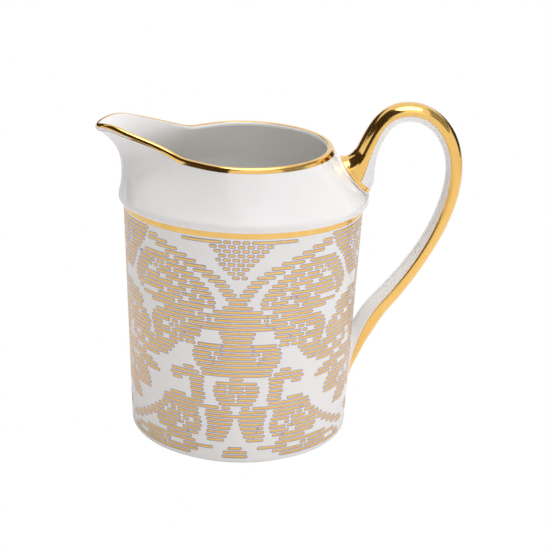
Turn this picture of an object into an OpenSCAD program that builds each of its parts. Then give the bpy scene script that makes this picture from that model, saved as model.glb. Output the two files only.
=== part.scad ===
// A small footed cream jug: a tapered cylindrical wall, a waisted shoulder that rises into an oval
// rim with a pulled spout, and an ear-shaped handle luted on opposite the spout.
// The origin is at the centre of the foot ring, on the table. +X points to the handle, -X to the
// spout, +Z up, and the jug is symmetric about the plane Y = 0.

/* [Body] */
// Outside radius of the wall where the shoulder step begins
wall_top_r = 37; // [36:0.1:38]
// Outside radius of the wall at its lower edge
wall_foot_r = 34.35; // [33.5:0.05:35]
// Height of the shoulder step above the table
step_z = 75; // [73:0.5:77]
// Thickness of the porcelain in the wall
wall_t = 2.4; // [2:0.1:2.8]
// Thickness of the floor
floor_t = 3.4; // [2.8:0.1:4]
// Radius of the curve between floor and wall, inside
floor_round = 6; // [4:0.5:8]

/* [Foot] */
// How far the foot ring lifts the wall's lower edge
foot_lift = 0.8; // [0.6:0.1:1]
// Outside radius of the foot ring
foot_r = 32.2; // [31.6:0.1:32.6]
// Width of the foot ring
foot_w = 2.6; // [2:0.1:3.2]

/* [Rim and spout] */
// Half of the oval rim's size from front to back, at the middle of the lip
rim_x = 26; // [25.5:0.1:26.5]
// Half of the oval rim's size from side to side, at the middle of the lip
rim_y = 29.7; // [29.2:0.1:30.2]
// Height of the middle of the lip away from the spout
rim_z = 91; // [90:0.1:91.5]
// Thickness of the lip
lip_t = 2.2; // [2:0.1:2.4]
// How far the spout reaches beyond the oval rim
spout_reach = 18.5; // [17:0.1:19]
// Half of the angle that the spout takes up
spout_angle = 49; // [46:1:52]
// How far the lip rises to the spout
spout_rise = 7.3; // [6:0.1:8]
// Half of the angle over which the lip rises
rise_angle = 53.5; // [50:0.5:60]
// Drop of the pouring tip below the highest part of the lip
tip_dip = 2.3; // [1.5:0.1:2.5]
// How far the rim is drawn in on each side of the spout
pinch = 1; // [0.6:0.1:1.4]

/* [Decoration] */
// Thickness of the gilding on rim, shoulder and handle
gild_t = 0.12; // [0.1:0.01:0.15]
// Width of the gilding below the lip
rim_gild_w = 0.6; // [0.5:0.1:1.2]
// Width of the gold line below the shoulder step
line_w = 1.8; // [1.5:0.1:2]
// Half of the angle around the handle that its gilding covers
gild_angle = 108; // [90:9:117]
// Width of the white foot left bare where the gilded handle meets the shoulder
bare_foot = 0.5; // [0.4:0.1:1.6]
// Thickness of the printed and fired sheet
sheet_t = 0.08; // [0.06:0.01:0.1]
// Height of the printed sheet's lower edge above the table
sheet_z0 = 2.4; // [2.3:0.1:4]
// Angle left bare on each side of the handle
sheet_gap = 10; // [9.5:0.5:14]

/* [Joints] */
// Thickness of the slip that holds the handle
slip_t = 0.4; // [0.3:0.05:0.5]
// How far the slip squeezes out around the handle
slip_out = 0.5; // [0.4:0.05:0.6]

/* [Hidden] */

porcelain = [0.93, 0.93, 0.94];
biscuit = [0.86, 0.83, 0.78];
gold = [0.85, 0.64, 0.27];
lilac_gold = [0.8, 0.7, 0.55];

around = 96; // steps around the rim
crowding = 25; // degrees by which those steps crowd towards the spout
up = 12; // steps up the shoulder
cap = 6; // steps over the half-round lip
down = 10; // steps down the inside of the shoulder
inside_start = 0.15; // where the parallel inside of the shoulder begins, as a part of the way up
tiny = 0.01; // step for finding a slope
turned_sides = 180; // sides of the turned wall, foot, gold line and print

// How the spout blends into the oval rim, in degrees from the middle of the spout.
spout_power = 3; // makes the spout narrow and its foot a long soft curve
dip_angle = 15; // half of the angle that the pouring tip dips over
pinch_at = 58; // where the rim is drawn in most
pinch_angle = 26; // half of the angle that it is drawn in over
blend_angle = 62; // half of the angle over which the shoulder changes from plain to spout

// The shoulder's outline away from the spout and at its middle: [plain, spout].
crease_lean = [-43, -7]; // how it leans out where it leaves the bead
crease_pull = [5.4, 5.9]; // how far it keeps to that lean
rim_lean = [-24, 63]; // how it leans out at the lip
rim_pull = [3.2, 9.4]; // how far below the lip it takes up that lean

// The step and the bead under the shoulder, as distances out from the wall and up from the step.
bead = [[0.15, 0], [1.1, 0.35], [1.5, 1.2], [1.45, 2]];
crease = [wall_top_r + 1.1, step_z + 2.6]; // where the shoulder leaves the bead
throat_r = wall_top_r - wall_t - 0.2; // inside radius at the step, a touch tighter than the wall
step_gap = 0.1; // bare glaze under the step, and again between the gold line and the print
wall_overlap = 0.3; // how far the wall runs up into the shoulder, so that the two fuse
edge_round = 1.4; // radius of the wall's lower edge
base_z = 2 * foot_lift; // height of the recessed base inside the foot ring
taper = (wall_top_r - wall_foot_r) / (step_z - foot_lift);

// The handle's centreline in the plane Y = 0, from the shoulder over the top to the wall.
handle_path = [
    [[32.7, 83], [35, 85.1], [36.1, 87.9], [37, 90.2]],
    [[37, 90.2], [39.5, 96.8], [42, 103.4], [49.7, 103.4]],
    [[49.7, 103.4], [57.9, 103.4], [64.1, 95.2], [64.1, 85]],
    [[64.1, 85], [64.1, 72.5], [56.3, 57], [44, 42.2]],
    [[44, 42.2], [39.5, 36.5], [36.6, 30], [34.3, 16.5]]
];
handle_steps = [8, 11, 10, 13, 15]; // rings in each stretch of the centreline
handle_sides = 20; // sides of the handle's section
// Half thickness of the handle, in the plane of its curve, at places along the centreline
handle_thick = [[0, 7.6], [0.25, 6.9], [0.5, 5], [0.75, 4], [1, 3.45], [1.3, 3.05], [2, 2.9],
    [3, 2.5], [3.6, 2.6], [4, 3.3], [4.4, 3.6], [5, 1.4]];
// Half width of the handle, across the plane of its curve
handle_wide = [[0, 6.4], [0.25, 5.9], [0.5, 5.3], [0.75, 5], [1, 4.8], [1.3, 4.6], [2, 4.6],
    [3, 4.2], [3.6, 4.2], [4, 4.8], [4.4, 4.6], [5, 1]];

// A smooth bump that is 1 where a is 0 and fades out at plus and minus w.
function hump(a, w, power = 2) = abs(a) < w ? pow(cos(90 * a / w), power) : 0;
function mix(a, b, w) = a * (1 - w) + b * w;
function lean(a) = [sin(a), cos(a)]; // a unit vector that leans out from the vertical by a
function bezier(p, t) = pow(1 - t, 3) * p[0] + 3 * t * pow(1 - t, 2) * p[1]
    + 3 * t * t * (1 - t) * p[2] + pow(t, 3) * p[3];
function polar(phi, rz) = [rz[0] * cos(phi), rz[0] * sin(phi), rz[1]];
function unit(v) = v / norm(v);

// The lip's middle line, by the angle phi around the jug from the handle.
function from_spout(phi) = abs((phi % 360 + 360) % 360 - 180);
function spout_weight(phi) = hump(from_spout(phi), blend_angle);
function blend(pair, phi) = mix(pair[0], pair[1], spout_weight(phi));
function lip_r(phi) = 1 / norm([cos(phi) / rim_x, sin(phi) / rim_y])
    + spout_reach * hump(from_spout(phi), spout_angle, spout_power)
    - pinch * hump(from_spout(phi) - pinch_at, pinch_angle);
function lip_z(phi) = rim_z + spout_rise * hump(from_spout(phi), rise_angle)
    - tip_dip * hump(from_spout(phi), dip_angle);

// The shoulder's outside at phi: a curve from the crease to the lip, as [radius, height].
function lip_lean(phi) = blend(rim_lean, phi);
function lip_pull(phi) = blend(rim_pull, phi);
function lip_edge(phi) = [lip_r(phi), lip_z(phi)]
    + lip_t / 2 * [cos(lip_lean(phi)), -sin(lip_lean(phi))];
function shoulder_curve(phi) = [
    crease,
    crease + blend(crease_pull, phi) * lean(blend(crease_lean, phi)),
    lip_edge(phi) - lip_pull(phi) * lean(lip_lean(phi)),
    lip_edge(phi)
];
function shoulder(phi, s) = polar(phi, bezier(shoulder_curve(phi), s));
function shoulder_normal(phi, s) = unit(cross(
    shoulder(phi + 1, s) - shoulder(phi - 1, s),
    shoulder(phi, s + tiny) - shoulder(phi, s - tiny)
));
function shoulder_slope(phi) = unit(shoulder(phi, 1) - shoulder(phi, 1 - tiny));

// Steps up the shoulder: even ones to the gilding's lower edge, then the lip's outer edge.
function gilding_start(phi) = 1 - rim_gild_w / (3 * lip_pull(phi));
function outside_at(phi, k) = k < up ? gilding_start(phi) * k / (up - 1) : 1;
function outside_point(phi, k, grow) = shoulder(phi, outside_at(phi, k))
    + grow * shoulder_normal(phi, outside_at(phi, k));
function cap_point(phi, k, grow) = shoulder(phi, 1) - lip_t / 2 * shoulder_normal(phi, 1)
    + (lip_t / 2 + grow) * (cos(180 * k / cap) * shoulder_normal(phi, 1)
    + sin(180 * k / cap) * shoulder_slope(phi));
function bead_point(phi, b, grow) = polar(phi, [wall_top_r + b[0] + grow, step_z + b[1]]);

// Angles around the jug, closer together at the spout than at the handle.
function angle(i) = 360 * i / around + crowding * sin(360 * i / around);
function wall_r(z) = wall_foot_r + taper * (z - foot_lift);

// Triangles over a grid of chains of points. A closed grid joins its last chain to its first.
function grid_faces(chains, points, closed) = [
    for (i = [0 : chains - (closed ? 1 : 2)], k = [0 : points - 1])
        let (j = (i + 1) % chains, l = (k + 1) % points,
            a = i * points + k, b = j * points + k, c = j * points + l, d = i * points + l)
        each [[a, c, b], [a, d, c]]
];

// A ring of equal closed sections, each a list of points.
module closed_loft(sections) {
    polyhedron([for (s = sections) each s], grid_faces(len(sections), len(sections[0]), true));
}

// A row of equal closed sections with a flat end at each side.
module capped_loft(sections) {
    n = len(sections[0]);
    last = (len(sections) - 1) * n;
    polyhedron(
        [for (s = sections) each s],
        [
            each grid_faces(len(sections), n, false),
            [for (k = [n - 1 : -1 : 0]) k],
            [for (k = [0 : n - 1]) last + k]
        ]
    );
}

// Points on an arc in the plane of a turned section.
function arc(centre, r, from, to, steps) = [
    for (k = [0 : steps]) let (a = mix(from, to, k / steps)) centre + r * [cos(a), sin(a)]
];

// ---- the casting ----

// Section of the shoulder's shell at phi: bead, outside, lip and inside.
function shell_section(phi) = [
    for (b = bead) bead_point(phi, b, 0),
    for (k = [0 : up]) outside_point(phi, k, 0),
    for (k = [1 : cap - 1]) cap_point(phi, k, 0),
    for (k = [0 : down - 1]) let (s = mix(1, inside_start, k / (down - 1)))
        shoulder(phi, s) - lip_t * shoulder_normal(phi, s),
    polar(phi, [throat_r, step_z])
];

module shoulder_shell() {
    closed_loft([for (i = [0 : around - 1]) shell_section(angle(i))]);
}

module wall_and_floor() {
    floor_z = base_z + floor_t;
    round_z = floor_z + floor_round;
    rotate_extrude($fn = turned_sides)
        polygon([
            [0, base_z],
            [foot_r, base_z],
            [foot_r, foot_lift],
            each arc([wall_foot_r - edge_round, foot_lift + edge_round], edge_round, -90, 0, 6),
            [wall_r(step_z), step_z],
            [wall_r(step_z), step_z + wall_overlap],
            [wall_r(step_z) - wall_t, step_z + wall_overlap],
            each arc([wall_r(round_z) - wall_t - floor_round, round_z], floor_round, 0, -90, 10),
            [0, floor_z]
        ]);
}

module jug_body() {
    color(porcelain)
        union() {
            wall_and_floor();
            shoulder_shell();
        }
}

// The unglazed ring that the jug stands on.
module foot_ring() {
    tread_round = 0.4;
    inner_r = foot_r - foot_w;
    color(biscuit)
        rotate_extrude($fn = turned_sides)
            polygon([
                each arc([inner_r + tread_round, tread_round], tread_round, 180, 270, 4),
                each arc([foot_r - tread_round, tread_round], tread_round, 270, 360, 4),
                [foot_r, base_z],
                [inner_r, base_z]
            ]);
}

// ---- the handle ----

function path_point(u) = let (i = min(floor(u), len(handle_path) - 1)) bezier(handle_path[i], u - i);
function path_slope(u) = unit(path_point(min(u + tiny, len(handle_path)))
    - path_point(max(u - tiny, 0)));
// One section of the handle at u, from angle a0 to a1 about its centre, 0 facing outwards.
function handle_arc(u, grow, a0, a1, steps) = [
    for (k = [0 : steps])
        let (a = mix(a0, a1, k / steps), c = path_point(u), t = path_slope(u),
            out = (lookup(u, handle_thick) + grow) * cos(a),
            side = (lookup(u, handle_wide) + grow) * sin(a))
        [c[0] - out * t[1], side, c[1] + out * t[0]]
];
function handle_places(first, last) = [
    for (i = [first : last], k = [0 : handle_steps[i] - 1]) i + k / handle_steps[i],
    last + 1
];

module handle_sweep(grow, first, last) {
    step = 360 / handle_sides;
    capped_loft([
        for (u = handle_places(first, last)) handle_arc(u, grow, 0, 360 - step, handle_sides - 1)
    ]);
}

// Everything inside the jug's outer surface on the handle's side, grown outwards.
module shoulder_envelope(grow) {
    reach = 9; // steps to each side of the handle
    core_r = 12;
    capped_loft([
        for (i = [-reach : reach])
            let (phi = angle(i)) [
                for (b = bead) bead_point(phi, b, grow),
                for (k = [0 : up]) outside_point(phi, k, grow),
                cap_point(phi, cap / 2, 0),
                polar(phi, [core_r, rim_z]),
                polar(phi, [core_r, step_z])
            ]
    ]);
}

module wall_envelope(grow) {
    outside = 1 / cos(180 / turned_sides); // puts the flats outside the true cone
    translate([0, 0, foot_lift])
        cylinder(
            h = step_z - foot_lift,
            r1 = (wall_foot_r + grow) * outside,
            r2 = (wall_top_r + grow) * outside,
            $fn = turned_sides
        );
}

// Blends are worked out as one mesh: a resize to no new size changes nothing else.
module as_one_mesh() {
    resize([0, 0, 0])
        children();
}

module handle() {
    color(porcelain)
        as_one_mesh()
            difference() {
                handle_sweep(0, 0, len(handle_path) - 1);
                shoulder_envelope(slip_t);
                wall_envelope(slip_t);
            }
}

module upper_slip_joint() {
    color(biscuit)
        as_one_mesh()
            difference() {
                intersection() {
                    handle_sweep(slip_out, 0, 0);
                    shoulder_envelope(slip_t);
                }
                shoulder_envelope(0);
            }
}

module lower_slip_joint() {
    color(biscuit)
        as_one_mesh()
            difference() {
                intersection() {
                    handle_sweep(slip_out, len(handle_path) - 1, len(handle_path) - 1);
                    wall_envelope(slip_t);
                }
                wall_envelope(0);
            }
}

// ---- the gilding and the print ----

// Gold over the lip: down the outside by its width, and most of the way over the top.
module rim_gilding() {
    over = cap - 2;
    color(gold)
        closed_loft([
            for (i = [0 : around - 1])
                let (phi = angle(i)) [
                    outside_point(phi, up - 1, gild_t),
                    outside_point(phi, up, gild_t),
                    for (k = [1 : over]) cap_point(phi, k, gild_t),
                    for (k = [over : -1 : 1]) cap_point(phi, k, 0),
                    outside_point(phi, up, 0),
                    outside_point(phi, up - 1, 0)
                ]
        ]);
}

module wall_band(z0, z1, t, from, sweep) {
    rotate([0, 0, from])
        rotate_extrude(angle = sweep, $fn = turned_sides)
            polygon([[wall_r(z0), z0], [wall_r(z0) + t, z0], [wall_r(z1) + t, z1], [wall_r(z1), z1]]);
}

module shoulder_gilding() {
    color(gold)
        wall_band(step_z - line_w - step_gap, step_z - step_gap, gild_t, 0, 360);
}

// Gold over the outward side of the handle.
module handle_gilding() {
    steps = 2 * gild_angle * handle_sides / 360;
    color(gold)
        as_one_mesh()
            difference() {
                capped_loft([
                    for (u = handle_places(0, len(handle_path) - 1)) [
                        each handle_arc(u, gild_t, -gild_angle, gild_angle, steps),
                        each handle_arc(u, 0, gild_angle, -gild_angle, steps)
                    ]
                ]);
                shoulder_envelope(bare_foot);
                wall_envelope(slip_t);
            }
}

// The printed sheet is laid on in two halves that meet opposite each other.
module transfer(from, sweep) {
    color(lilac_gold)
        wall_band(sheet_z0, step_z - line_w - 2 * step_gap, sheet_t, from, sweep);
}

module front_transfer() {
    transfer(180, 180 - sheet_gap);
}

module back_transfer() {
    transfer(sheet_gap, 180 - sheet_gap);
}

jug_body();
foot_ring();
handle();
upper_slip_joint();
lower_slip_joint();
rim_gilding();
shoulder_gilding();
handle_gilding();
front_transfer();
back_transfer();
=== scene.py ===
"""The looks of a gilded porcelain cream jug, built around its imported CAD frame.

Lengths are millimetres in the object's own frame until mesh_object() turns them into metres.
phi is the angle around the jug in degrees, 0 at the handle and 180 at the spout.
"""
import math

import bpy
import numpy as np
from mathutils import Matrix, Vector


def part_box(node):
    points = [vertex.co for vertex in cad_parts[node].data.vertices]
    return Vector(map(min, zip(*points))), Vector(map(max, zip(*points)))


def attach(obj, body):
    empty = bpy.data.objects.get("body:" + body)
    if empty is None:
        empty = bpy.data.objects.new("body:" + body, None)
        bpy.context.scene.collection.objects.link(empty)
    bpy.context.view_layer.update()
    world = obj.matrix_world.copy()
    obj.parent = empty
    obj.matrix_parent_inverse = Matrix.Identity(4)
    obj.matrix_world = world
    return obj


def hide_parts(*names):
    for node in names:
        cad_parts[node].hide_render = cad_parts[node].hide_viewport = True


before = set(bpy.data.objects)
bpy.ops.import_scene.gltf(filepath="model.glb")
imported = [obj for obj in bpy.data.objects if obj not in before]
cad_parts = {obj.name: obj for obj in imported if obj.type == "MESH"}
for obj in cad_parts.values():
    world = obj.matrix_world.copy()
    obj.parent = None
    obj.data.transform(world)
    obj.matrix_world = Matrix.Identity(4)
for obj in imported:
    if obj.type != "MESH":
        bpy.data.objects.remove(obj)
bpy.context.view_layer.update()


# ---- sizes, the same as the CAD's ----

def box_mm(node):
    """Lowest and highest corner of a CAD node, in millimetres."""
    low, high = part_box(node)
    return np.array(low) * 1000, np.array(high) * 1000


BASE_Z = box_mm("foot_ring")[1][2]
FOOT_R = box_mm("foot_ring")[1][0]
FOOT_LIFT = box_mm("jug_body")[0][2]
LINE_LOW, LINE_HIGH = box_mm("shoulder_gilding")[0][2], box_mm("shoulder_gilding")[1][2]
STEP_GAP = 0.1  # bare glaze between the gold line and the step over it
STEP_Z = LINE_HIGH + STEP_GAP
GILD_T = 0.12  # the CAD's gilding thickness, which the looks stay under
WALL_TOP_R = box_mm("shoulder_gilding")[1][0] - GILD_T
WALL_FOOT_R = 34.35
WALL_T = 2.4
LIP_T = 2.2
FLOOR_T = 3.4
FLOOR_ROUND = 6
EDGE_ROUND = 1.4
TAPER = (WALL_TOP_R - WALL_FOOT_R) / (STEP_Z - FOOT_LIFT)
CREASE = (WALL_TOP_R + 1.1, STEP_Z + 2.6)  # radius and height where the shoulder starts

RIM_X, RIM_Y, RIM_Z = 26.0, 29.7, 91.0
SPOUT_REACH, SPOUT_ANGLE, SPOUT_POWER = 18.5, 49, 3
SPOUT_RISE, RISE_ANGLE = 7.3, 53.5
TIP_DIP, DIP_ANGLE = 2.3, 15
PINCH, PINCH_AT, PINCH_ANGLE = 1.0, 58, 26
BLEND_ANGLE = 62
# The shoulder's outline away from the spout and at its middle.
CREASE_LEAN, CREASE_PULL = (-43, -7), (5.4, 5.9)
RIM_LEAN, RIM_PULL = (-24, 63), (3.2, 9.4)

# The handle's middle line: one cubic curve for each unit along it, as (x, z) points.
HANDLE_PATH = np.array([
    [[32.7, 83], [35, 85.1], [36.1, 87.9], [37, 90.2]],
    [[37, 90.2], [39.5, 96.8], [42, 103.4], [49.7, 103.4]],
    [[49.7, 103.4], [57.9, 103.4], [64.1, 95.2], [64.1, 85]],
    [[64.1, 85], [64.1, 72.5], [56.3, 57], [44, 42.2]],
    [[44, 42.2], [39.5, 36.5], [36.6, 30], [34.3, 16.5]],
])
# Its half thickness in that plane and half width across it, at places along it.
HANDLE_THICK = np.array([
    [0, 7.6], [0.25, 6.9], [0.5, 5], [0.75, 4], [1, 3.45], [1.3, 3.05], [2, 2.9], [3, 2.5],
    [3.6, 2.6], [4, 3.3], [4.4, 3.6], [4.8, 2.1], [5, 0.5],
])
HANDLE_WIDE = np.array([
    [0, 6.4], [0.25, 5.9], [0.5, 5.3], [0.75, 5], [1, 4.8], [1.3, 4.6], [2, 4.6], [3, 4.2],
    [3.6, 4.2], [4, 4.8], [4.4, 4.6], [5, 1],
])
# Half of the angle around the handle that its gold covers, at places along it.
GOLD_ANGLE = np.array([
    [0, 108], [1, 108], [1.6, 98], [2.2, 98], [2.6, 112], [3, 120], [3.4, 118], [4, 104],
    [4.6, 92], [5, 80],
])


# ---- the jug's surfaces as formulas ----

def hump(a, w, power=2):
    """A smooth bump that is 1 where a is 0 and fades out at plus and minus w."""
    return np.where(np.abs(a) < w, np.cos(np.radians(90 * np.clip(a / w, -1, 1))) ** power, 0)


def mix(a, b, w):
    return a * (1 - w) + b * w


def from_spout(phi):
    return np.abs(np.mod(phi, 360) - 180)


def spout_weight(phi):
    return hump(from_spout(phi), BLEND_ANGLE)


def blend(pair, phi):
    return mix(pair[0], pair[1], spout_weight(phi))


def lip_r(phi):
    oval = 1 / np.hypot(np.cos(np.radians(phi)) / RIM_X, np.sin(np.radians(phi)) / RIM_Y)
    spout = SPOUT_REACH * hump(from_spout(phi), SPOUT_ANGLE, SPOUT_POWER)
    return oval + spout - PINCH * hump(from_spout(phi) - PINCH_AT, PINCH_ANGLE)


def lip_z(phi):
    a = from_spout(phi)
    return RIM_Z + SPOUT_RISE * hump(a, RISE_ANGLE) - TIP_DIP * hump(a, DIP_ANGLE)


def lip_lean(phi):
    return blend(RIM_LEAN, phi)


def lean(a):
    """A unit (radius, height) vector that leans out from the vertical by a degrees."""
    return np.stack([np.sin(np.radians(a)), np.cos(np.radians(a))], -1)


def polar(phi, rz):
    c, s = np.cos(np.radians(phi)), np.sin(np.radians(phi))
    return np.stack([rz[..., 0] * c, rz[..., 0] * s, rz[..., 1] + 0 * c], -1)


def bezier(p, t):
    """Cubic curve through four arrays of points, at t."""
    t = np.asarray(t, float)[..., None]
    u = 1 - t
    return u ** 3 * p[0] + 3 * t * u ** 2 * p[1] + 3 * t * t * u * p[2] + t ** 3 * p[3]


def shoulder_rz(phi, s):
    """The shoulder's outside at phi, from the crease at s = 0 to the lip's edge at s = 1."""
    a = lip_lean(phi)
    out = np.stack([np.cos(np.radians(a)), -np.sin(np.radians(a))], -1)
    edge = np.stack([lip_r(phi), lip_z(phi)], -1) + LIP_T / 2 * out
    start = np.array(CREASE) + 0 * edge
    rise = start + blend(CREASE_PULL, phi)[..., None] * lean(blend(CREASE_LEAN, phi))
    return bezier([start, rise, edge - blend(RIM_PULL, phi)[..., None] * lean(a), edge], s)


def shoulder(phi, s):
    return polar(phi, shoulder_rz(phi, s))


def unit(v):
    return v / np.linalg.norm(v, axis=-1, keepdims=True)


def shoulder_normal(phi, s):
    d = 0.01
    across = shoulder(phi + 1, s) - shoulder(phi - 1, s)
    along = shoulder(phi, s + d) - shoulder(phi, s - d)
    return unit(np.cross(across, along))


def lip(phi, turn, lift=0.0):
    """The half-round lip: turn 0 is its outer edge, 180 its inner edge, in degrees."""
    one = np.ones_like(phi)
    n = shoulder_normal(phi, one)
    t = unit(shoulder(phi, one) - shoulder(phi, one - 0.01))
    c, s = np.cos(np.radians(turn))[..., None], np.sin(np.radians(turn))[..., None]
    return shoulder(phi, one) - LIP_T / 2 * n + (LIP_T / 2 + lift) * (c * n + s * t)


def wall_r(z):
    return WALL_FOOT_R + TAPER * (z - FOOT_LIFT)


def arc(cr, cz, r, a0, a1, steps):
    """Points (radius, height) on an arc of the jug's section, angles in degrees."""
    a = np.radians(np.linspace(a0, a1, steps + 1))
    return [(cr + r * math.cos(x), cz + r * math.sin(x)) for x in a]


# ---- meshes ----

JUG_SIDES = 480
SPOUT_CROWDING = 18  # how far, in degrees, the angles are drawn towards the spout at most
HANDLE_SIDES, HANDLE_ROWS = 72, 240
SUNK = -0.03  # where the underside of gilding and print lies, just inside the glaze


def mesh_object(name, points, faces, material):
    """A smooth mesh object from points in millimetres."""
    data = bpy.data.meshes.new(name)
    data.from_pydata((np.asarray(points) / 1000).tolist(), [], faces)
    data.validate()
    data.polygons.foreach_set("use_smooth", [True] * len(data.polygons))
    data.materials.append(material)
    piece = bpy.data.objects.new(name, data)
    bpy.context.scene.collection.objects.link(piece)
    return piece


def grid_faces(rows, columns, closed):
    """Quads over rows of points; closed joins each row's last point to its first."""
    faces = []
    for i in range(rows - 1):
        for k in range(columns if closed else columns - 1):
            a = i * columns
            b = a + columns
            n = (k + 1) % columns
            faces.append((a + k, a + n, b + n, b + k))
    return faces


def turned(name, rows, material, capped=False):
    """A mesh of rings around the axis; capped closes the first and last ring with a fan."""
    rows = np.asarray(rows)
    count, columns = rows.shape[:2]
    points = rows.reshape(-1, 3)
    faces = grid_faces(count, columns, True)
    if capped:
        centre = len(points)
        last = (count - 1) * columns
        points = np.vstack([points, rows[0].mean(0), rows[-1].mean(0)])
        faces += [(centre, (k + 1) % columns, k) for k in range(columns)]
        faces += [(last + k, last + (k + 1) % columns, centre + 1) for k in range(columns)]
    return mesh_object(name, points, faces, material)


def even_angles(n):
    return np.arange(n) * 360 / n


def angles_around():
    """Angles around the jug, closer together at the spout."""
    a = even_angles(JUG_SIDES)
    return a + SPOUT_CROWDING * np.sin(np.radians(a))


def ring_of(phi, rz):
    return polar(phi, np.array(rz, float) + np.zeros((len(phi), 2)))


# ---- materials ----

def node_material(name):
    material = bpy.data.materials.new(name)
    material.use_nodes = True
    return material, material.node_tree.nodes, material.node_tree.links


def noise(nodes, links, scale, detail=3.0):
    """A noise texture in object coordinates; scale is in features per metre."""
    place = nodes.new("ShaderNodeTexCoord")
    texture = nodes.new("ShaderNodeTexNoise")
    texture.inputs["Scale"].default_value = scale
    texture.inputs["Detail"].default_value = detail
    links.new(place.outputs["Object"], texture.inputs["Vector"])
    return texture.outputs["Fac"]


NOISE_LOW, NOISE_HIGH = 0.3, 0.7  # nearly all of a noise texture's values lie between these


def ramp(nodes, links, source, low, high):
    """Colours from low to high as a noise source goes from its low to its high values."""
    node = nodes.new("ShaderNodeValToRGB")
    node.color_ramp.elements[0].position = NOISE_LOW
    node.color_ramp.elements[1].position = NOISE_HIGH
    node.color_ramp.elements[0].color = (*low, 1)
    node.color_ramp.elements[1].color = (*high, 1)
    links.new(source, node.inputs["Fac"])
    return node.outputs["Color"]


def ranged(nodes, links, source, low, high):
    """Numbers from low to high as a noise source goes from its low to its high values."""
    node = nodes.new("ShaderNodeMapRange")
    node.inputs["From Min"].default_value = NOISE_LOW
    node.inputs["From Max"].default_value = NOISE_HIGH
    node.inputs["To Min"].default_value = low
    node.inputs["To Max"].default_value = high
    links.new(source, node.inputs["Value"])
    return node.outputs["Result"]


def bump(nodes, links, source, distance):
    """A normal that follows source as relief; distance is its full height in metres."""
    node = nodes.new("ShaderNodeBump")
    node.inputs["Distance"].default_value = distance
    node.inputs["Strength"].default_value = 1.0
    links.new(source, node.inputs["Height"])
    return node.outputs["Normal"]


GLAZE_IOR = 1.52


def porcelain_material():
    material, nodes, links = node_material("glazed_porcelain")
    shader = nodes["Principled BSDF"]
    shader.inputs["IOR"].default_value = GLAZE_IOR
    cloud = noise(nodes, links, scale=45)
    white = ramp(nodes, links, cloud, low=(0.915, 0.905, 0.86), high=(0.935, 0.925, 0.88))
    links.new(white, shader.inputs["Base Color"])
    fine = noise(nodes, links, scale=600, detail=2)
    links.new(ranged(nodes, links, fine, low=0.05, high=0.09), shader.inputs["Roughness"])
    waves = noise(nodes, links, scale=90, detail=1)
    links.new(bump(nodes, links, waves, distance=0.00004), shader.inputs["Normal"])
    return material


def gold_material(name, dark, light, rough):
    """Polished gold; rough is its lowest and highest roughness."""
    material, nodes, links = node_material(name)
    shader = nodes["Principled BSDF"]
    shader.inputs["Metallic"].default_value = 1.0
    cloud = noise(nodes, links, scale=160)
    links.new(ramp(nodes, links, cloud, dark, light), shader.inputs["Base Color"])
    wear = noise(nodes, links, scale=700, detail=2)
    links.new(ranged(nodes, links, wear, *rough), shader.inputs["Roughness"])
    brushing = noise(nodes, links, scale=350, detail=2)
    links.new(bump(nodes, links, brushing, distance=0.00001), shader.inputs["Normal"])
    return material


def lilac_material():
    material, nodes, links = node_material("lilac_lustre")
    shader = nodes["Principled BSDF"]
    shader.inputs["Metallic"].default_value = 0.25
    cloud = noise(nodes, links, scale=250)
    lilac = ramp(nodes, links, cloud, low=(0.42, 0.375, 0.50), high=(0.47, 0.425, 0.55))
    links.new(lilac, shader.inputs["Base Color"])
    wear = noise(nodes, links, scale=900, detail=2)
    links.new(ranged(nodes, links, wear, low=0.25, high=0.4), shader.inputs["Roughness"])
    return material


def biscuit_material():
    material, nodes, links = node_material("unglazed_biscuit")
    shader = nodes["Principled BSDF"]
    grain = noise(nodes, links, scale=2500, detail=4)
    clay = ramp(nodes, links, grain, low=(0.60, 0.58, 0.54), high=(0.72, 0.70, 0.66))
    links.new(clay, shader.inputs["Base Color"])
    links.new(ranged(nodes, links, grain, low=0.75, high=0.95), shader.inputs["Roughness"])
    links.new(bump(nodes, links, grain, distance=0.00005), shader.inputs["Normal"])
    return material


PORCELAIN = porcelain_material()
BRIGHT_GOLD = gold_material(
    "bright_gold", dark=(0.93, 0.57, 0.15), light=(0.97, 0.62, 0.19), rough=(0.1, 0.15))
SATIN_GOLD = gold_material(
    "satin_gold", dark=(0.90, 0.56, 0.16), light=(0.96, 0.63, 0.21), rough=(0.14, 0.2))
STRIPE_GOLD = gold_material(
    "printed_gold", dark=(0.94, 0.61, 0.13), light=(0.98, 0.67, 0.17), rough=(0.3, 0.42))
LILAC = lilac_material()
BISCUIT = biscuit_material()


# ---- the casting ----

INNER_END = 0.22  # where on the shoulder, which is 1 at the lip, the inside leaves its shape
INNER_JOIN = 6  # how far under the step the inside's slope ends
TOP_PULL, JOIN_PULL = 2.5, 3.0  # how strongly the curve between the two leaves each end


def step_outline():
    """The small rounded step where the shoulder stands out over the wall, as (radius, height)."""
    step = arc(WALL_TOP_R + 0.25, STEP_Z - 0.2, 0.25, 180, 90, 5)
    step += arc(WALL_TOP_R + 0.62, STEP_Z + 0.92, 0.88, -90, -10, 10)
    return step + [(WALL_TOP_R + 1.5, STEP_Z + 1.3), (WALL_TOP_R + 1.47, STEP_Z + 1.8),
                   (WALL_TOP_R + 1.36, STEP_Z + 2.2)]


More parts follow.
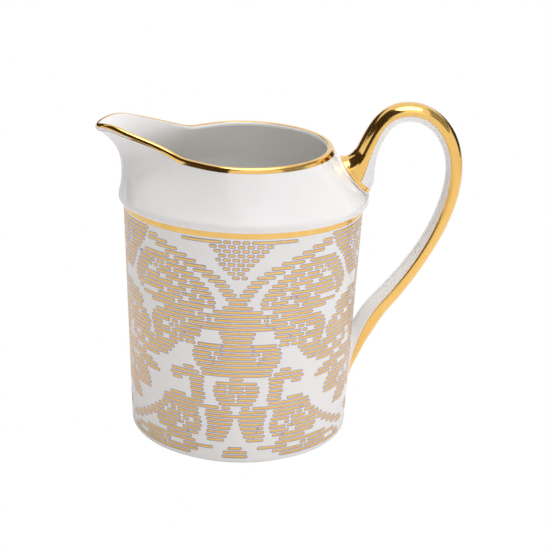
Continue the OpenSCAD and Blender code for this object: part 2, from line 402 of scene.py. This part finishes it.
def body_rows(phi):
    """Rings from the middle of the base, up the outside, over the lip and down to the floor."""
    floor_z = BASE_Z + FLOOR_T
    round_z = floor_z + FLOOR_ROUND
    edge_r = WALL_FOOT_R - EDGE_ROUND
    bevel = 0.15
    outline = [(r, BASE_Z) for r in (2, 12, 22, 29, FOOT_R - 0.1, FOOT_R)]
    outline += [(FOOT_R, FOOT_LIFT + bevel), (FOOT_R + bevel, FOOT_LIFT)]
    outline += arc(edge_r, FOOT_LIFT + EDGE_ROUND, EDGE_ROUND, -90, -TAPER, 12)
    outline += [(wall_r(z), z) for z in np.linspace(4, STEP_Z - 0.5, 12)]
    outline += step_outline()
    rows = [ring_of(phi, p) for p in outline]
    rows += [shoulder(phi, s + 0 * phi) for s in np.linspace(0.02, 1, 48)]
    rows += [lip(phi, a + 0 * phi) for a in np.linspace(0, 180, 19)[1:-1]]
    for s in np.linspace(1, INNER_END, 32):
        rows.append(shoulder(phi, s + 0 * phi) - LIP_T * shoulder_normal(phi, s + 0 * phi))
    top, before = rows[-1], rows[-2]
    join_z = STEP_Z - INNER_JOIN
    join = ring_of(phi, (wall_r(join_z) - WALL_T, join_z))
    down, up = unit(top - before), np.array([0, 0, 1])
    curve = [top, top + TOP_PULL * down, join + JOIN_PULL * up, join]
    rows += [bezier(curve, t + 0 * phi) for t in np.linspace(0, 1, 10)[1:]]
    inner = [(wall_r(z) - WALL_T, z) for z in np.linspace(join_z, round_z, 8)[1:-1]]
    inner += arc(wall_r(round_z) - WALL_T - FLOOR_ROUND, round_z, FLOOR_ROUND, 0, -90, 12)
    inner += [(r, floor_z) for r in (20, 10, 2)]
    return rows + [ring_of(phi, p) for p in inner]


def make_body():
    body = turned("porcelain_body", body_rows(angles_around()), PORCELAIN, capped=True)
    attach(body, "root")
    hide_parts("jug_body")


# ---- the handle ----

CORNER_REACH = 0.12  # how far along the handle each side of a table's corner is rounded
SHOULDER_FROM = 70  # height over which a point may lie nearer to the shoulder than to the wall
FLARE = 1.3  # radius of the fillet where the handle meets the body
ROOT_GAP = -0.03  # how far off the body the handle's ends lie, which is just inside it


def smooth_table(u, table):
    """A table read with its corners rounded off."""
    reach = np.linspace(-CORNER_REACH, CORNER_REACH, 9)
    return np.mean([np.interp(u + d, table[:, 0], table[:, 1]) for d in reach], axis=0)


def handle_path(u):
    """A point (x, z) of the handle's middle line; u is 0 at its top end and 5 at its foot."""
    i = np.clip(np.floor(u).astype(int), 0, len(HANDLE_PATH) - 1)
    p = HANDLE_PATH[i]
    return bezier([p[..., k, :] for k in range(4)], u - i)


def handle_surface(u, turn):
    """A point of the handle's skin and its normal. turn is 0 on the outward side, in degrees."""
    x, z = np.moveaxis(handle_path(u), -1, 0)
    step = handle_path(np.minimum(u + 0.01, 4.999)) - handle_path(np.maximum(u - 0.01, 0))
    dx, dz = np.moveaxis(unit(step), -1, 0)
    a, b = smooth_table(u, HANDLE_THICK), smooth_table(u, HANDLE_WIDE)
    c, s = np.cos(np.radians(turn)), np.sin(np.radians(turn))
    out, side = c / a, s / b
    size = np.hypot(out, side)
    out, side = out / size, side / size
    normal = np.stack([-out * dz, side, out * dx], -1)
    return np.stack([x - a * c * dz, b * s, z + a * c * dx], -1), normal


def above_body(point):
    """How far a point near the handle stands off the jug, and which way is straight out there."""
    r = np.hypot(point[..., 0], point[..., 1])
    z = point[..., 2]
    phi = np.degrees(np.arctan2(point[..., 1], point[..., 0]))
    level = np.array([math.cos(math.atan(TAPER)), -math.sin(math.atan(TAPER))])
    gap = (r - wall_r(z)) * level[0]
    out = np.broadcast_to(level, (*gap.shape, 2)).copy()
    high = z > SHOULDER_FROM
    if high.any():
        p = np.stack([r[high], z[high]], -1)
        s = np.linspace(0.02, 1, 50)
        around = np.repeat(phi[high][:, None], len(s), 1)
        upper = shoulder_rz(around, np.broadcast_to(s, around.shape))
        lower = np.array([(wall_r(h), h) for h in (60, 68, 74)] + step_outline())
        curve = np.concatenate([np.broadcast_to(lower, (len(p), *lower.shape)), upper], 1)
        start, step = curve[:, :-1], np.diff(curve, axis=1)
        along = ((p[:, None] - start) * step).sum(-1) / (step ** 2).sum(-1)
        foot = start + np.clip(along, 0, 1)[..., None] * step
        nearest = np.argmin(((foot - p[:, None]) ** 2).sum(-1), axis=1)
        row = np.arange(len(p))
        slope = unit(step[row, nearest])
        normal = np.stack([slope[:, 1], -slope[:, 0]], -1)
        away = p - foot[row, nearest]
        side = np.sign((away * normal).sum(-1))
        gap[high] = side * np.linalg.norm(away, axis=-1)
        out[high] = normal
    return gap, polar(phi, out)


def flared(u, turn, lift):
    """The handle's skin, raised by lift, with a fillet where it comes down onto the body."""
    point, normal = handle_surface(u, turn)
    gap, out = above_body(point)
    near = np.clip(FLARE - gap, 0, FLARE)
    spread = FLARE - np.sqrt(np.maximum(FLARE ** 2 - near ** 2, 0))
    outward = normal - (normal * out).sum(-1, keepdims=True) * out
    outward /= np.maximum(np.linalg.norm(outward, axis=-1, keepdims=True), 1e-6)
    tilt = np.clip(near / FLARE, 0, 1)[..., None] ** 2
    skin = unit(normal * (1 - tilt) + out * tilt)
    return point + spread[..., None] * outward + lift * skin


def handle_span(turn_of, columns, top_gap, low_gap):
    """For each column, where along the handle it comes within top_gap and low_gap of the body."""
    top_u, low_u = np.linspace(0.02, 1.2, 90), np.linspace(3.5, 4.99, 110)
    u = np.concatenate([top_u, np.linspace(1.4, 3.4, 10), low_u])
    spans = []
    for v in columns:
        gap, _ = above_body(handle_surface(u, turn_of(u, v))[0])
        near = np.nonzero((gap < top_gap) & (u <= top_u[-1]))[0]
        first = near[-1] if len(near) else 0
        late = np.nonzero((gap < low_gap) & (u > low_u[0]))[0]
        last = late[0] if len(late) else len(u) - 1
        ends = []
        for i, want in ((first, top_gap), (last - 1, low_gap)):
            g0, g1 = gap[i], gap[i + 1]
            ends.append(u[i] + (u[i + 1] - u[i]) * np.clip((want - g0) / (g1 - g0), 0, 1))
        spans.append(ends)
    return np.array(spans)


def straight(u, v):
    return v + 0 * u


def handle_grid(turn_of, columns, top_gap, low_gap, lift):
    """Rows of points from the handle's top to its foot, closer together at both ends."""
    span = handle_span(turn_of, columns, top_gap, low_gap)
    t = np.linspace(0, 1, HANDLE_ROWS)
    t = mix((1 - np.cos(np.pi * t)) / 2, t, 0.2)
    u = span[None, :, 0] + (span[:, 1] - span[:, 0])[None, :] * t[:, None]
    return flared(u, turn_of(u, columns[None, :]), lift)


def make_handle():
    columns = even_angles(HANDLE_SIDES)
    points = handle_grid(straight, columns, ROOT_GAP, ROOT_GAP, 0).reshape(-1, 3)
    faces = grid_faces(HANDLE_ROWS, HANDLE_SIDES, True)
    handle = mesh_object("porcelain_handle", points, faces, PORCELAIN)
    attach(handle, "root")
    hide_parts("handle", "upper_slip_joint", "lower_slip_joint")


# ---- gilding ----

TOP_BARE, LOW_BARE = 0.5, 0.45  # how far off the body the handle's gold stops, at each end
BAND_TOP = 1.7  # how far off the body the band of gold around the upper end reaches
RIM_BELOW = 0.75  # how far the rim's gold reaches down the outside, away from the spout
# How far each layer of gold stands off the glaze, and the underside of the rim's gold.
HANDLE_LIFT, BAND_LIFT, LINE_LIFT, RIM_LIFT, RIM_SUNK = 0.06, 0.07, 0.05, 0.05, -0.04


def skin(name, top, bottom, material):
    """A thin closed shell: a top layer of points whose border folds down onto the bottom layer."""
    rows, columns = top.shape[:2]
    points = np.vstack([top.reshape(-1, 3), bottom.reshape(-1, 3)])
    half = rows * columns
    faces = grid_faces(rows, columns, False)
    faces += [tuple(half + i for i in reversed(f)) for f in grid_faces(rows, columns, False)]
    border = list(range(columns - 1))
    border += [i * columns + columns - 1 for i in range(rows - 1)]
    border += [(rows - 1) * columns + k for k in range(columns - 1, 0, -1)]
    border += [i * columns for i in range(rows - 1, 0, -1)]
    faces += [(b, a, half + a, half + b) for a, b in zip(border, border[1:] + border[:1])]
    return mesh_object(name, points, faces, material)


def make_handle_gilding():
    columns = np.linspace(-1, 1, 49)

    def turn_of(u, v):
        return v * np.interp(u, GOLD_ANGLE[:, 0], GOLD_ANGLE[:, 1])

    top, bottom = (handle_grid(turn_of, columns, TOP_BARE, LOW_BARE, lift)
                   for lift in (HANDLE_LIFT, SUNK))
    gold = skin("gilded_handle", top, bottom, BRIGHT_GOLD)
    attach(gold, "root")
    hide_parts("handle_gilding")


def make_handle_band():
    """The narrow gold band that follows the joint all around the handle's upper end."""
    columns = even_angles(HANDLE_SIDES)
    low = handle_span(straight, columns, TOP_BARE, LOW_BARE)[:, 0]
    high = handle_span(straight, columns, BAND_TOP, LOW_BARE)[:, 0]
    u = low[None, :] + (high - low)[None, :] * np.linspace(0, 1, 9)[:, None]
    top, bottom = (flared(u, straight(u, columns[None, :]), lift) for lift in (BAND_LIFT, SUNK))
    rows = np.concatenate([top, bottom[::-1], top[:1]])
    band = turned("gilded_handle_band", rows, BRIGHT_GOLD)
    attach(band, "root")
    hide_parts("handle_gilding")


def make_rim_gilding():
    """Gold over the lip's upper side, which turns inwards around it where the spout leans out."""
    phi = angles_around()
    a = lip_lean(phi)
    start, end = np.maximum(1.3 * a - 15, 0), np.minimum(125 + a, 165)
    below = RIM_BELOW * np.clip((12 - a) / 36, 0, 1) / (3 * blend(RIM_PULL, phi))

    def layer(lift):
        under = [mix(1 - below, 1, t) for t in (0, 0.5)]
        rows = [shoulder(phi, s) + lift * shoulder_normal(phi, s) for s in under]
        return rows + [lip(phi, mix(start, end, t), lift) for t in np.linspace(0, 1, 22)]

    rows = layer(RIM_LIFT) + layer(RIM_SUNK)[::-1]
    rows.append(rows[0])
    gold = turned("gilded_rim", rows, BRIGHT_GOLD)
    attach(gold, "root")
    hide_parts("rim_gilding")


def make_shoulder_line():
    phi = even_angles(JUG_SIDES)
    edge = [(SUNK, 0.02), (0.6 * LINE_LIFT, 0), (LINE_LIFT, 0.08)]
    outline = [(out, LINE_LOW + in_by) for out, in_by in edge]
    outline += [(LINE_LIFT, z) for z in np.linspace(LINE_LOW + 0.5, LINE_HIGH - 0.5, 3)]
    outline += [(out, LINE_HIGH - in_by) for out, in_by in edge[::-1]]
    rows = [ring_of(phi, (wall_r(z) + out, z)) for out, z in outline]
    rows.append(rows[0])
    line = turned("shoulder_line", rows, SATIN_GOLD)
    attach(line, "root")
    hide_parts("shoulder_gilding")


# ---- the striped damask print ----

# The print repeats twice around the wall and mirrors about the middle of the front and of the back.
# Its shapes are drawn on the flat: across from that middle line, then up from the table, both in
# millimetres, and only the thin stripes that cross them are printed.

ROW_LOW, ROW_PITCH, ROWS = 3.25, 1.348, 52
GOLD_HIGH, LILAC_HIGH = 0.62, 1.24  # heights of the gold stripes and of the lilac under them
GOLD_LIFT, LILAC_LIFT = 0.045, 0.02
MM_PER_DEGREE = 0.628  # the print's scale around the wall
SHEET_GAP = 10  # degrees left bare on each side of the handle's lower end
SAMPLE_STEP = 0.1  # how finely each row is searched for the ends of its printed stretches
SHORTEST_RUN = 0.35  # printed stretches shorter than this are left out
BARE_BETWEEN = 0.15  # stripes in a row that would come closer end to end than this are joined
STRIPE_STEP = 1.2  # shortest straight piece of a long stripe, as it bends around the wall

OUTLINES = {
    "wing": [
        (6, 51.6), (8.6, 57), (13, 61), (19, 64.3), (26, 66.6), (31, 66), (35, 61), (37.5, 55.5),
        (31, 50.6), (22, 49.8), (12, 50),
    ],
    "side_crest": [
        (32, 66), (30, 70.5), (36, 73), (58, 73), (58, 58), (47, 56), (40, 56.5), (36.5, 61),
    ],
    "capital": [
        (-3, 57), (2.4, 52.8), (6, 50.4), (10.5, 50), (13, 47.6), (16, 46.4), (12, 45), (6, 45),
        (4.6, 43.4), (4.3, 40.4), (-4, 39.9),
    ],
    "lobe": [
        (11, 49), (11.4, 45), (11.4, 41.8), (15, 40.4), (19, 39), (21.4, 35.4), (24, 33.4),
        (26.6, 36.6), (28, 41), (29, 45.6), (25.4, 48.8), (19, 49.6),
    ],
    "urn": [
        (-4, 40.6), (4, 40.4), (9.6, 41), (13, 38.6), (13.4, 35.4), (11.4, 32), (8.4, 30.2),
        (-4, 30),
    ],
    "chalice": [
        (-2, 29.2), (1.4, 28.9), (5.4, 28.4), (6.9, 25.6), (6, 22.6), (4.4, 20), (-2, 19.4),
    ],
    "drop": [
        (0.9, 18.6), (5, 18), (10, 18.4), (8.4, 15), (8.3, 12), (9.2, 9), (6.4, 7.4), (3.6, 8.6),
        (2.4, 11.6), (1.2, 14.6),
    ],
    "finial": [
        (-2, 6.8), (1, 6.6), (3.8, 4.4), (3.4, 2.4), (-2, 2.4),
    ],
    "palmette": [
        (15.6, 22.4), (22, 22.4), (25, 19.6), (22, 17.6), (20.6, 15.6), (24.6, 15.2), (28, 13),
        (26.6, 9.4), (21, 8.2), (13.4, 8.4), (10.8, 12), (11.4, 15.6), (13.4, 18.8),
    ],
    "base_leaf": [
        (6, 6.4), (12, 7), (20, 8.6), (28, 8), (37, 6.6), (44, 3), (36, 2.4), (24, 2.4), (12, 3.4),
    ],
}

# Leaves of the side columns: where each starts, its tip and how wide it is.
LEAVES = [
    ((50, 51), (32.4, 47.6), 5), ((48, 47), (28.4, 41), 7), ((48, 42), (23.6, 33.2), 8),
    ((47, 33), (24.8, 27), 4.6), ((48, 31), (29.6, 20), 9), ((50, 23), (35.6, 14.4), 6),
    ((58, 8), (45, 11), 4),
]

# Printed strokes: half width, then the line.
STEMS = [
    (1.25, [(0, 52), (2.2, 55.5), (5.2, 59.3), (10, 62.6), (16, 65.3), (22, 67.8), (28, 70),
            (33, 72.6)]),
    (1.7, [(19.4, 29), (15, 29.6), (12, 28.4), (12.4, 25), (11.6, 22.6), (13, 19.6)]),
    (1.0, [(21.5, 19.4), (26, 15.8), (31, 12.4), (37, 9.4), (43, 7.4)]),
    (6.5, [(54, 58), (51, 42), (53, 22)]),
    (0.55, [(5.8, 18.9), (13.4, 18.9)]),
    (0.55, [(6, 72), (16, 72)]),
    (0.6, [(-9.6, 30.2), (9.6, 30.2)]),
    (0.8, [(13.9, 39.4), (14.8, 39.4)]),
    (0.8, [(14.6, 31.4), (15.6, 31.4)]),
    (0.6, [(-1, 16.4), (1, 16.4)]),
    (0.6, [(2.6, 19), (3.4, 19)]),
]
# Strokes that stay bare inside the printed shapes.
VEINS = [
    (0.42, [(8, 52.4), (14, 55.6), (22, 58), (31, 60.4)]),
    (0.4, [(12.6, 57.4), (18, 60), (23.4, 62.8)]),
    (0.34, [(14, 53.6), (20, 51.4)]),
    (0.4, [(20.4, 55.4), (26, 53.4), (33, 53)]),
    (0.7, [(29.4, 71.6), (31.4, 67.6), (35.4, 63.4), (38, 58.4), (41, 55)]),
    (0.42, [(36, 71.4), (40, 66), (47, 61.4), (56.5, 58.6)]),
    (0.4, [(40.6, 71.6), (44, 68.6), (49, 67)]),
    (0.3, [(2.7, 51.6), (2.5, 49)]),
    (0.36, [(5, 46.8), (8.4, 48.2), (13, 48.6)]),
    (0.4, [(13.4, 47.4), (19, 44.6), (24.6, 43.4)]),
    (0.36, [(16, 42.4), (20, 40.2), (24.4, 39.6)]),
    (0.5, [(4.1, 40.4), (4.9, 38.8), (4.6, 36.6)]),
    (0.8, [(2.5, 25.7), (2.6, 25.3)]),
    (0.9, [(0, 23), (0, 22.6)]),
    (0.4, [(7.4, 13.4), (6.4, 12), (6.6, 10.6)]),
    (0.42, [(12.4, 13.4), (17, 15), (21.4, 18)]),
    (0.36, [(15, 10), (18, 11.4), (24.6, 12.4)]),
    (0.36, [(10, 4.6), (18, 5.8), (30, 5.2), (38, 4.4)]),
    (0.5, [(56.5, 54), (47, 47.4), (35, 43.4)]),
    (0.5, [(56.5, 46), (45, 39), (31, 35.4)]),
    (0.5, [(56.5, 36), (46, 29.8), (33, 27.8)]),
    (0.4, [(54, 30), (44, 25), (37, 21.4)]),
]

# Patches that are only dotted with short dashes: where each is, and its radius.
PATCHES = [
    (27, 61.6, 2.4), (16.6, 53.4, 1.8), (32, 57, 1.6), (21.4, 43.6, 2.2), (9.4, 47.8, 1.7),
    (6.8, 36, 1.8), (17, 12.8, 1.9), (24, 5.4, 1.5), (41, 66.4, 2.4), (46, 60, 1.8),
    (44, 50, 2.2), (43, 36, 2.2), (40, 24.4, 1.8),
]
PATCH_DASH, PATCH_PERIOD = 0.7, 2.3

# The fan of short dashes over the middle: its lowest point, half width there and how it widens.
TRELLIS_Z, TRELLIS_HALF, TRELLIS_SPREAD = 61, 2, 0.75
TRELLIS_DASH, TRELLIS_PERIOD = 1.2, 2.7


def rounded(points):
    """A closed outline with its corners cut off twice, which leaves a smooth curve."""
    p = np.array(points, float)
    for _ in range(2):
        q = np.roll(p, -1, axis=0)
        p = np.stack([0.75 * p + 0.25 * q, 0.25 * p + 0.75 * q], 1).reshape(-1, 2)
    return p


def inside(a, z, outline):
    """Whether each point lies in a closed outline, by counting the edges above it."""
    found = np.zeros(a.shape, bool)
    for (a0, z0), (a1, z1) in zip(outline, np.roll(outline, -1, axis=0)):
        if a0 != a1:
            spans = (a0 > a) != (a1 > a)
            found ^= spans & (z < z0 + (a - a0) * (z1 - z0) / (a1 - a0))
    return found


def near_line(a, z, radius, line):
    """Whether each point lies within radius of a line through a few points."""
    p = np.stack([a, z], -1)
    found = np.zeros(a.shape, bool)
    for start, end in zip(np.array(line, float), np.array(line, float)[1:]):
        step = end - start
        t = np.clip(((p - start) @ step) / (step @ step), 0, 1)
        found |= np.linalg.norm(p - start - t[..., None] * step, axis=-1) < radius
    return found


def leaf_outline(start, tip, wide):
    """A leaf from its start to its pointed tip, widest along its middle."""
    start, tip = np.array(start, float), np.array(tip, float)
    along = tip - start
    side = np.array([-along[1], along[0]]) / np.linalg.norm(along) * wide / 2
    return [start, start + 0.3 * along + side, start + 0.7 * along + side, tip,
            start + 0.7 * along - side, start + 0.3 * along - side]


def dashes(across, row, length, period):
    """Short dashes, staggered from row to row."""
    return np.mod(across + period / 2 * (row % 2), period) < length


def printed(row, across):
    """Where the damask is printed in one row."""
    a = np.abs(across)
    z = ROW_LOW + ROW_PITCH * row + 0 * a
    found = np.zeros(a.shape, bool)
    for outline in [*OUTLINES.values(), *(leaf_outline(*leaf) for leaf in LEAVES)]:
        found |= inside(a, z, rounded(outline))
    for radius, line in STEMS:
        found |= near_line(a, z, radius, line)
    for radius, line in VEINS:
        found &= ~near_line(a, z, radius, line)
    for x, height, radius in PATCHES:
        found &= (np.hypot(a - x, z - height) > radius) | dashes(a, row, PATCH_DASH, PATCH_PERIOD)
    trellis = (z > TRELLIS_Z) & (a < TRELLIS_HALF + TRELLIS_SPREAD * (z - TRELLIS_Z))
    return found | trellis & dashes(across, row, TRELLIS_DASH, TRELLIS_PERIOD)


def stripe_runs(row, smallest_gap):
    """Start and end of each printed stretch in a row, in millimetres from the middle line."""
    across = np.arange(-90 * MM_PER_DEGREE, (90 - SHEET_GAP) * MM_PER_DEGREE, SAMPLE_STEP)
    on = printed(row, across)
    change = np.flatnonzero(np.diff(np.concatenate([[0], on.astype(int), [0]])))
    runs = [[across[i], across[j - 1]] for i, j in zip(change[::2], change[1::2])]
    joined = []
    for run in runs:
        if joined and run[0] - joined[-1][1] < smallest_gap:
            joined[-1][1] = run[1]
        else:
            joined.append(run)
    return [run for run in joined if run[1] - run[0] > SHORTEST_RUN]


def stripe_mesh(middle, mirror, high, lift):
    """Raised stripes with round ends; middle is the angle of the mirror line they hang on."""
    points, faces = [], []
    r = high / 2
    cap = [(1, 0.2), (0.85, 0.55), (0.5, 0.87)]
    side = [(1, SUNK), (0.93, 0.6 * lift), (0.6, lift)]
    section = [(-half, out) for half, out in side] + side[::-1]
    n = len(section)
    for row in range(ROWS):
        z = ROW_LOW + ROW_PITCH * row
        for run in stripe_runs(row, high + BARE_BETWEEN):
            u0, u1 = (-run[1], -run[0]) if mirror else run
            count = max(2, int((u1 - u0) / STRIPE_STEP) + 1)
            along = [(u0 - r * x, r * y) for x, y in cap]
            along += [(u, r) for u in np.linspace(u0, u1, count)]
            along += [(u1 + r * x, r * y) for x, y in cap[::-1]]
            first = len(points)
            for u, half in along:
                phi = math.radians(middle + u / MM_PER_DEGREE)
                for part, out in section:
                    h = z + part * half
                    r_out = wall_r(h) + out
                    points.append((r_out * math.cos(phi), r_out * math.sin(phi), h))
            for i in range(len(along) - 1):
                for k in range(n - 1):
                    c = first + i * n + k
                    faces.append((c, c + n, c + n + 1, c + 1))
            last = first + (len(along) - 1) * n
            faces.append(tuple(first + k for k in range(n)))
            faces.append(tuple(last + k for k in reversed(range(n))))
    return points, faces


def make_print():
    inks = [("gold", STRIPE_GOLD, GOLD_HIGH, GOLD_LIFT), ("lilac", LILAC, LILAC_HIGH, LILAC_LIFT)]
    for side, middle in (("front", 270), ("back", 90)):
        for ink, material, high, lift in inks:
            points, faces = stripe_mesh(middle, side == "back", high, lift)
            stripes = mesh_object(f"{side}_{ink}_stripes", points, faces, material)
            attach(stripes, "root")
            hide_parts(f"{side}_transfer")


# ---- stage, lights and camera ----

# Places and sizes here are in metres.

CARD_AIM = Vector((0, 0, 0.06))
WARM_DARK, GREY = (0.05, 0.033, 0.02), (0.35, 0.35, 0.35)
COOL_WHITE, ROOM_WHITE = (0.96, 0.955, 1.0), (0.955, 0.95, 1.0)
FLOOR_GLOW, ROOM_GLOW = 0.09, 0.95
FLOOR_SIDE = 6.0


def flat_sheet(name, size, material):
    """A flat rectangle, centred and level until it is moved."""
    w, h = size[0] / 2, size[1] / 2
    data = bpy.data.meshes.new(name)
    data.from_pydata([(-w, -h, 0), (w, -h, 0), (w, h, 0), (-w, h, 0)], [], [(0, 1, 2, 3)])
    data.materials.append(material)
    sheet = bpy.data.objects.new(name, data)
    bpy.context.scene.collection.objects.link(sheet)
    return sheet


def card(name, centre, size, colour, strength=0.0):
    """A card that faces the jug: a lamp if it has strength, and plain card of that colour if not.

    It lights, shades and shows in reflections, and the camera itself doesn't see it.
    """
    material, nodes, _ = node_material(name)
    shader = nodes["Principled BSDF"]
    shader.inputs["Base Color"].default_value = (0, 0, 0, 1) if strength else (*colour, 1)
    shader.inputs["Roughness"].default_value = 1.0
    shader.inputs["Emission Color"].default_value = (*colour, 1)
    shader.inputs["Emission Strength"].default_value = strength
    thing = flat_sheet(name, size, material)
    thing.rotation_mode = "QUATERNION"
    thing.rotation_quaternion = (CARD_AIM - Vector(centre)).to_track_quat("Z", "Y")
    thing.location = centre
    thing.visible_camera = False


def white_to_camera(nodes, links, shader):
    """Plain white where the camera sees it, and another shader for light and reflections."""
    seen = nodes.new("ShaderNodeLightPath")
    white = nodes.new("ShaderNodeEmission")
    both = nodes.new("ShaderNodeMixShader")
    links.new(seen.outputs["Is Camera Ray"], both.inputs["Fac"])
    links.new(shader.outputs[0], both.inputs[1])
    links.new(white.outputs["Emission"], both.inputs[2])
    return both.outputs["Shader"]


def make_floor():
    material, nodes, links = node_material("pale_floor")
    shader = nodes["Principled BSDF"]
    cloud = noise(nodes, links, scale=30)
    pale = ramp(nodes, links, cloud, low=(0.86, 0.85, 0.84), high=(0.90, 0.89, 0.88))
    links.new(pale, shader.inputs["Base Color"])
    shader.inputs["Roughness"].default_value = 0.9
    shader.inputs["Emission Color"].default_value = (*COOL_WHITE, 1)
    shader.inputs["Emission Strength"].default_value = FLOOR_GLOW
    links.new(white_to_camera(nodes, links, shader), nodes["Material Output"].inputs["Surface"])
    floor = flat_sheet("floor", (FLOOR_SIDE, FLOOR_SIDE), material)


def make_world():
    world = bpy.data.worlds.new("studio")
    world.use_nodes = True
    nodes, links = world.node_tree.nodes, world.node_tree.links
    room = nodes["Background"]
    room.inputs["Color"].default_value = (*ROOM_WHITE, 1)
    room.inputs["Strength"].default_value = ROOM_GLOW
    links.new(white_to_camera(nodes, links, room), nodes["World Output"].inputs["Surface"])
    bpy.context.scene.world = world


def make_stage():
    make_floor()
    make_world()
    card("front_dark", centre=(-0.5, -0.75, 0.27), size=(0.7, 0.4), colour=WARM_DARK)
    card("left_dark", centre=(-0.5, -0.18, 0.64), size=(1.3, 0.82), colour=WARM_DARK)
    card("back_dark", centre=(-0.33, 0.39, 0.23), size=(0.5, 0.26), colour=WARM_DARK)
    card("right_dark", centre=(0.45, 0.42, 0.15), size=(0.5, 0.24), colour=WARM_DARK)
    card("right_grey", centre=(0.7, 0.1, 0.6), size=(1.2, 0.5), colour=GREY)
    card("front_box", centre=(0.15, -0.75, 0.95), size=(0.8, 0.4), colour=COOL_WHITE, strength=1.3)
    card("top_box", centre=(0.05, 0, 1.0), size=(0.6, 0.7), colour=COOL_WHITE, strength=4.6)


CAMERA_PLACE = (0.0104, -0.4035, 0.1917)
CAMERA_TILT, CAMERA_ROLL = math.radians(19.38), math.radians(1.91)
CAMERA_LENS, CAMERA_SENSOR = 88.86, 36


def make_camera():
    data = bpy.data.cameras.new("camera")
    data.sensor_width = CAMERA_SENSOR
    data.lens = CAMERA_LENS
    camera = bpy.data.objects.new("camera", data)
    bpy.context.scene.collection.objects.link(camera)
    c, s = math.cos(CAMERA_TILT), math.sin(CAMERA_TILT)
    level = Matrix(((1, 0, 0), (0, s, -c), (0, c, s)))
    turn = Matrix.Rotation(CAMERA_ROLL, 3, "Z")
    camera.matrix_world = (level @ turn).to_4x4()
    camera.location = CAMERA_PLACE
    bpy.context.scene.camera = camera


make_body()
make_handle()
make_handle_gilding()
make_handle_band()
make_rim_gilding()
make_shoulder_line()
make_print()
foot_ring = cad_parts["foot_ring"]
foot_ring.data.materials.clear()
foot_ring.data.materials.append(BISCUIT)
make_stage()
make_camera()
bpy.context.scene.view_settings.view_transform = "Standard"
